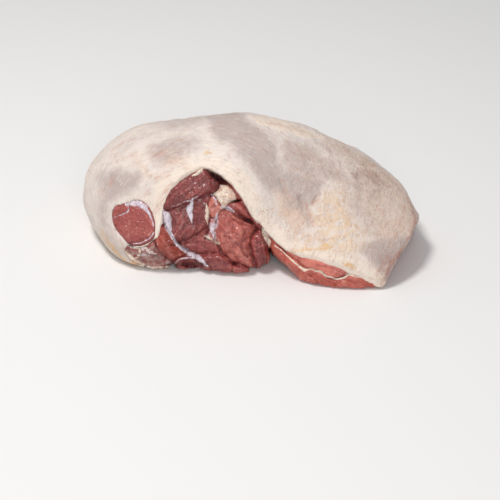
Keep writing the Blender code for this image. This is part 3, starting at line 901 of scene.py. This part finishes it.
def add_lean(material):
    vertices, quads = skin(lean_field, *GRIDS["lean_meat"])
    depth = OPENING.read("depth", vertices)
    behind = (outer(vertices) < -depth - 3) & (gap_field(vertices) > 2) & (vertices[:, 2] > 2)
    covered = (OPENING.read("bare", vertices) > 4) | (OPENING.read("eye", vertices) < 1)
    vertices, quads = without_hidden(vertices, quads, behind | covered)
    obj = mesh_object("lean_meat", vertices, quads, material)
    for name in ("tone", "silver", "fat", "veil", "ruddy"):
        add_looks(obj, **{name: OPENING.read(name, vertices)})
    under = -outer(vertices)
    fibres = turned(on_slope(vertices), OPENING.read("grain", vertices))
    # deep: painted shade, growing with how far the lean lies below the fat's outside, and in crevices, pits
    # and grooves.
    add_looks(obj, deep=np.maximum(smooth_step(under, 6, 17), OPENING.read("dark", vertices)),
              fibre=np.stack([*fibres, under], axis=-1))
    return obj


def add_eye(material):
    vertices, quads = skin(eye_field, *GRIDS["eye_muscle"])
    vertices, quads = without_hidden(vertices, quads, eye_plane(vertices) < -EYE_DEPTH + 1)
    obj = mesh_object("eye_muscle", vertices, quads, material)
    place = on_slope(vertices)
    away = place - EYE_FAN
    fan = np.stack([np.hypot(*away.T), np.arctan2(away[:, 1], -away[:, 0]) * 12], axis=-1)
    flat = np.stack([place[:, 0] / FIBRE_STRETCH, place[:, 1]], axis=-1)
    in_fan = OPENING.read("eye_fan", vertices)[:, None] > 0
    # deep: painted shade on the muscle's sides, below its cut face.
    add_looks(obj, tone=OPENING.read("eye_tone", vertices), silver=OPENING.read("eye_silver", vertices),
              deep=smooth_step(-eye_plane(vertices), 1, 3),
              fibre=np.concatenate([np.where(in_fan, fan, flat), vertices[:, 1:2]], axis=-1))
    return obj


def add_end(material):
    vertices, quads = skin(end_field, *GRIDS["end_muscle"])
    hidden = plane(vertices, END_POINT, END_OUT) < -END_DEPTH + 1
    vertices, quads = without_hidden(vertices, quads, hidden)
    obj = mesh_object("end_muscle", vertices, quads, material)
    across, up = vertices[:, 1], vertices[:, 2] - SEAM_HEIGHT
    seam = np.abs(up - 7 * np.sin(across / 19) - fractal(vertices, 14, seed=43) * 2)
    second = np.abs(across + 12 + up * 0.6) + 40 * (up < 0)
    lines = np.exp(-((np.minimum(seam, second) / 1.1) ** 2))
    add_looks(obj, tone=np.where(up > 0, 0.15, -0.25) - 0.2 * smooth_step(masses(vertices), -7, -4.5),
              silver=0.3 * lines, fat=0.9 * lines,
              fibre=np.stack([across / FIBRE_STRETCH, vertices[:, 2], vertices[:, 0]], axis=-1))
    return obj


# ---- materials ----
def paint(red, green, blue):
    """The linear colour of these display values from 0 to 255."""
    values = np.array([red, green, blue]) / 255
    return (*np.where(values < 0.04045, values / 12.92, ((values + 0.055) / 1.055) ** 2.4), 1)


class Shader:
    """A material whose nodes are each added by one short call. Sizes are in millimetres."""

    def __init__(self, name, colour):
        self.colour = colour
        self.material = bpy.data.materials.new(name)
        self.material.use_nodes = True
        self.tree = self.material.node_tree
        self.principled = self.tree.nodes["Principled BSDF"]
        place = self.tree.nodes.new("ShaderNodeTexCoord").outputs["Object"]
        self.place = self.vector("MULTIPLY", place, (1 / UNIT,) * 3)

    def add(self, kind, inputs, output=0, **settings):
        node = self.tree.nodes.new(kind)
        for key, value in settings.items():
            setattr(node, key, value)
        for key, value in inputs.items():
            self.feed(node.inputs[key], value)
        return node.outputs[output]

    def feed(self, socket, value):
        if isinstance(value, bpy.types.NodeSocket):
            self.tree.links.new(value, socket)
        else:
            socket.default_value = value

    def vector(self, operation, a, b):
        return self.add("ShaderNodeVectorMath", {0: a, 1: b}, operation=operation)

    def math(self, operation, a, b):
        return self.add("ShaderNodeMath", {0: a, 1: b}, operation=operation)

    def attribute(self, name, output="Fac"):
        return self.add("ShaderNodeAttribute", {}, output, attribute_name=name)

    def stretched(self, name, share):
        """The place that this attribute gives, times the share along each axis."""
        return self.vector("MULTIPLY", self.attribute(name, "Vector"), share)

    def noise(self, size, detail=2, place=None, warp=0.0, roughness=0.5):
        """Noise from about 0.2 to 0.8, whose lumps have this size."""
        inputs = {"Vector": place or self.place, "Scale": 1 / size, "Detail": detail, "Distortion": warp,
                  "Roughness": roughness}
        return self.add("ShaderNodeTexNoise", inputs)

    def step(self, value, low, high, to=1.0):
        """0 below low, and up to the given value above high."""
        inputs = {"Value": value, "From Min": low, "From Max": high, "To Max": to}
        return self.add("ShaderNodeMapRange", inputs, interpolation_type="SMOOTHSTEP")

    def mix(self, share, a, b):
        return self.add("ShaderNodeMix", {0: share, 6: a, 7: b}, output=2, data_type="RGBA")

    def lay(self, share, colour):
        """Lays a colour over what is there already."""
        self.colour = self.mix(share, self.colour, colour)

    def swing(self, value, amount):
        """The value's distance from 0.5, times the amount."""
        return self.times(self.math("SUBTRACT", value, 0.5), amount)

    def lines(self, places, size, width):
        """Thin lines where a noise crosses its middle value, 1 on the line and 0 away from it."""
        off = self.math("ABSOLUTE", self.swing(self.noise(size, 2, places, 0.3), 1.0), 0.0)
        return self.step(off, width, 0.0)

    def times(self, *values):
        return reduce(lambda a, b: self.math("MULTIPLY", a, b), values)

    def plus(self, *values):
        return reduce(lambda a, b: self.math("ADD", a, b), values)

    def finish(self, roughness, bumps, subsurface, radius, coat):
        """Feeds the shader. bumps: heights."""
        self.feed(self.principled.inputs["Base Color"], self.colour)
        self.feed(self.principled.inputs["Roughness"], roughness)
        height = self.math("MULTIPLY", bumps, UNIT)
        normal = self.add("ShaderNodeBump", {"Height": height, "Distance": 1.0})
        self.feed(self.principled.inputs["Normal"], normal)
        constants = {"Subsurface Weight": subsurface, "Subsurface Radius": radius, "Subsurface Scale": UNIT,
                     "Specular IOR Level": 0.45, "Coat Weight": coat, "Coat Roughness": 0.12}
        for name, value in constants.items():
            self.principled.inputs[name].default_value = value
        return self.material


def fat_material():
    s = Shader("fat", paint(222, 209, 202))
    thin_and_fold_shade, edge, cut, warm, meaty, cream, yellow, under, right = (
        s.attribute(name)
        for name in ("thin_and_fold_shade", "edge", "cut", "warm", "meaty", "cream", "yellow", "under", "right"))
    big, middle, small = s.noise(21, 3, warp=0.6), s.noise(5.5, 4, warp=0.4), s.noise(1.3, 3)
    flow = (0.12, 1, 0.5)
    left_strand = s.noise(2.2, 3, s.stretched("round", flow), 0.3)
    right_strand = s.noise(2, 3, s.stretched("straight", flow), 0.3)
    strand = s.plus(left_strand, s.times(right, s.math("SUBTRACT", right_strand, left_strand)))

    def spread(share, amount):
        """The share, from 0 to 1, with the noise's unevenness added to it."""
        return s.plus(share, s.swing(middle, 1.3 * amount), s.swing(strand, amount), s.swing(big, amount))

    # the zones
    s.lay(s.step(big, 0.35, 0.65), paint(230, 217, 207))
    s.lay(s.step(spread(warm, 0.7), 0.1, 1.1, 0.9), paint(212, 184, 166))
    # Grey where the fat is thin, and painted shade in one fold on the flap.
    grey = s.plus(spread(thin_and_fold_shade, 0.55), s.times(cream, -0.5), s.times(edge, -0.8))
    s.lay(s.step(grey, 0.1, 0.95, 0.95), paint(188, 172, 166))
    s.lay(s.times(yellow, s.step(middle, 0.35, 0.6, 0.8)), paint(226, 198, 166))
    s.lay(s.step(spread(cream, 0.45), 0.25, 0.9, 0.9), paint(236, 219, 202))
    s.lay(s.times(edge, 0.85), paint(238, 222, 207))
    s.lay(s.step(spread(meaty, 0.6), 0.3, 1.0, 0.9), paint(160, 124, 117))
    # pale and dark strands
    s.lay(s.step(strand, 0.55, 0.75, 0.4), paint(238, 226, 214))
    s.lay(s.step(strand, 0.45, 0.28, 0.4), paint(190, 168, 158))
    # reddish specks and scribbles, and golden spots
    blush = s.step(s.plus(s.noise(12, 3), s.times(warm, 0.12), s.times(right, 0.06)), 0.48, 0.66)
    specks = s.times(s.step(s.noise(1.7, 3, warp=0.8), 0.56, 0.7), blush)
    s.lay(s.times(specks, 0.5), paint(200, 152, 126))
    scribble = s.times(s.lines(s.stretched("round", (0.3, 1, 0.5)), 3.6, 0.03), blush)
    s.lay(s.times(scribble, 0.4), paint(196, 148, 124))
    golden = s.times(yellow, s.step(s.noise(2.6, 4, warp=1.0), 0.56, 0.7))
    s.lay(s.times(golden, 0.7), paint(228, 186, 130))
    # the drawn marks, with frayed borders
    fray = s.swing(s.noise(2.4, 4, warp=0.8, roughness=0.7), 7.0)
    brown = s.times(s.step(s.plus(s.attribute("brown"), fray), -2.6, 1.6), s.step(strand, 0.34, 0.6))
    s.lay(s.times(brown, 0.55), paint(192, 140, 118))
    gold = s.step(s.plus(s.attribute("gold"), fray), -1.6, 1.4, 0.9)
    s.lay(gold, paint(226, 178, 112))
    # the cut edge, and the underside
    cut_colour = s.mix(s.step(small, 0.5, 0.7, 0.35), paint(244, 229, 215), paint(224, 186, 164))
    s.lay(cut, cut_colour)
    meat = s.mix(s.step(middle, 0.4, 0.6), paint(150, 88, 82), paint(206, 178, 168))
    s.lay(under, meat)

    bumps = s.plus(s.times(middle, 0.9), s.times(small, 0.3), s.times(strand, 0.7), s.times(big, 1.5),
                   s.times(scribble, -0.15))
    roughness = s.plus(0.36, s.times(middle, 0.2), s.times(small, 0.1))
    return s.finish(roughness, bumps, subsurface=0.1, radius=(3.0, 1.6, 1.0), coat=0.0)


def lean_material():
    s = Shader("lean", paint(112, 41, 41))
    tone, silver, fat, deep, veil, ruddy = (
        s.attribute(name) for name in ("tone", "silver", "fat", "deep", "veil", "ruddy"))
    fibre = s.stretched("fibre", (FIBRE_STRETCH, 1, 0.6))
    coarse, fine = s.noise(2.2, 3, fibre, 0.3), s.noise(0.8, 2, fibre, 0.2)
    blotch, grains, wet = s.noise(6, 3, warp=0.5), s.noise(1.1, 3), s.noise(2.6, 3, warp=0.6)

    # the meat, from dark to pink, with the lumps' painted light and shade, pale fibres and flecks
    shade = s.plus(tone, s.swing(blotch, 1.4), s.swing(coarse, 1.8), s.swing(grains, 1.3))
    s.lay(s.step(shade, -1.1, 0.0), paint(162, 76, 71))
    s.lay(s.step(shade, -0.1, 1.2), paint(216, 124, 107))
    s.lay(s.times(ruddy, 0.5), paint(198, 82, 44))
    pale = s.times(s.step(coarse, 0.54, 0.72), s.step(grains, 0.45, 0.62))
    s.lay(s.times(pale, 0.4), paint(208, 156, 148))
    flecks = s.times(s.step(s.noise(1.5, 2, warp=0.6), 0.64, 0.72), s.step(s.noise(9, 2), 0.42, 0.58))
    s.lay(s.times(flecks, 0.75), paint(226, 198, 188))
    # the membrane, the silver skin and the fat over it
    membrane = s.mix(s.step(blotch, 0.36, 0.64), paint(150, 112, 104), paint(190, 168, 158))
    s.lay(s.times(veil, s.step(s.noise(5, 4, warp=0.8), 0.36, 0.6, 0.85)), membrane)
    torn = s.plus(s.swing(wet, 1.0), s.swing(grains, 0.5))
    threads = s.step(s.plus(s.times(fine, 0.5), s.times(wet, 0.5)), 0.34, 0.56)
    silver_colour = s.mix(threads, paint(186, 166, 182), paint(228, 220, 228))
    s.lay(s.step(s.plus(silver, torn), 0.28, 0.85, 0.97), silver_colour)
    crumbs = s.step(s.plus(s.times(grains, 0.4), s.times(blotch, 0.6)), 0.36, 0.58)
    fat_colour = s.mix(crumbs, paint(208, 170, 150), paint(240, 226, 208))
    s.lay(s.step(s.plus(fat, torn), 0.38, 0.68, 0.95), fat_colour)
    # Painted shade: darker where the lean lies deep below the fat's outside, and in crevices, pits and
    # grooves.
    s.lay(s.times(deep, 0.85), paint(66, 26, 28))

    bumps = s.plus(s.times(coarse, 0.9), s.times(fine, 0.3), s.times(grains, 0.45), s.times(wet, 1.0))
    roughness = s.plus(0.18, s.times(grains, 0.2), s.times(fine, 0.15), s.times(fat, 0.25))
    return s.finish(roughness, bumps, subsurface=0.06, radius=(2.4, 0.8, 0.6), coat=0.3)


def floor_material():
    material = bpy.data.materials.new("floor")
    material.use_nodes = True
    shader = material.node_tree.nodes["Principled BSDF"]
    shader.inputs["Base Color"].default_value = (0.86, 0.85, 0.84, 1)
    shader.inputs["Roughness"].default_value = 0.7
    return material


# ---- the stage ----
def add_light(name, place, size, energy, colour):
    light = bpy.data.lights.new(name, "AREA")
    light.energy = energy
    light.color = colour
    light.shape = "DISK"
    light.size = size
    obj = bpy.data.objects.new(name, light)
    bpy.context.scene.collection.objects.link(obj)
    obj.location = place
    obj.rotation_euler = (-Vector(place)).to_track_quat("-Z", "Y").to_euler()


def add_stage():
    mesh = bpy.data.meshes.new("floor")
    side = 6.0
    corners = [(x * side, y * side, 0) for x, y in ((-1, -1), (1, -1), (1, 1), (-1, 1))]
    mesh.from_pydata(corners, [], [(0, 1, 2, 3)])
    mesh.materials.append(floor_material())
    floor = bpy.data.objects.new("floor", mesh)
    floor.location.z = -0.0005
    bpy.context.scene.collection.objects.link(floor)
    floor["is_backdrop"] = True
    world = bpy.data.worlds.new("studio")
    world.use_nodes = True
    world.node_tree.nodes["Background"].inputs["Color"].default_value = (0.95, 0.97, 1.0, 1)
    world.node_tree.nodes["Background"].inputs["Strength"].default_value = 0.4
    bpy.context.scene.world = world
    add_light("key", (-0.5, -0.1, 1.5), 0.4, 14, (1.0, 0.98, 0.96))
    add_light("fill", (0.1, -1.5, 0.8), 0.8, 7.5, (1.0, 0.99, 0.98))


def add_camera():
    """A camera that looks down the slope, from in front of the leg."""
    aim = Vector(to_world(SLOPE_ORIGIN))
    distance = 1152 * UNIT
    data = bpy.data.cameras.new("camera")
    data.lens = 99.5
    data.sensor_width = 36
    camera = bpy.data.objects.new("camera", data)
    camera.location = aim + Vector(OUT) * distance
    camera.rotation_euler = (aim - camera.location).to_track_quat("-Z", "Y").to_euler()
    bpy.context.scene.collection.objects.link(camera)
    bpy.context.scene.camera = camera


fat_look, lean_look = fat_material(), lean_material()
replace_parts(add_fat(fat_look), NODE)
for add_piece in (add_lean, add_eye, add_end):
    add_piece(lean_look)
add_stage()
add_camera()
bpy.context.scene.view_settings.view_transform = "Standard"
boxes = {"cad": CAD_BOX, "visual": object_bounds()}
{name: [list(map(float, corner)) for corner in box] for name, box in boxes.items()}
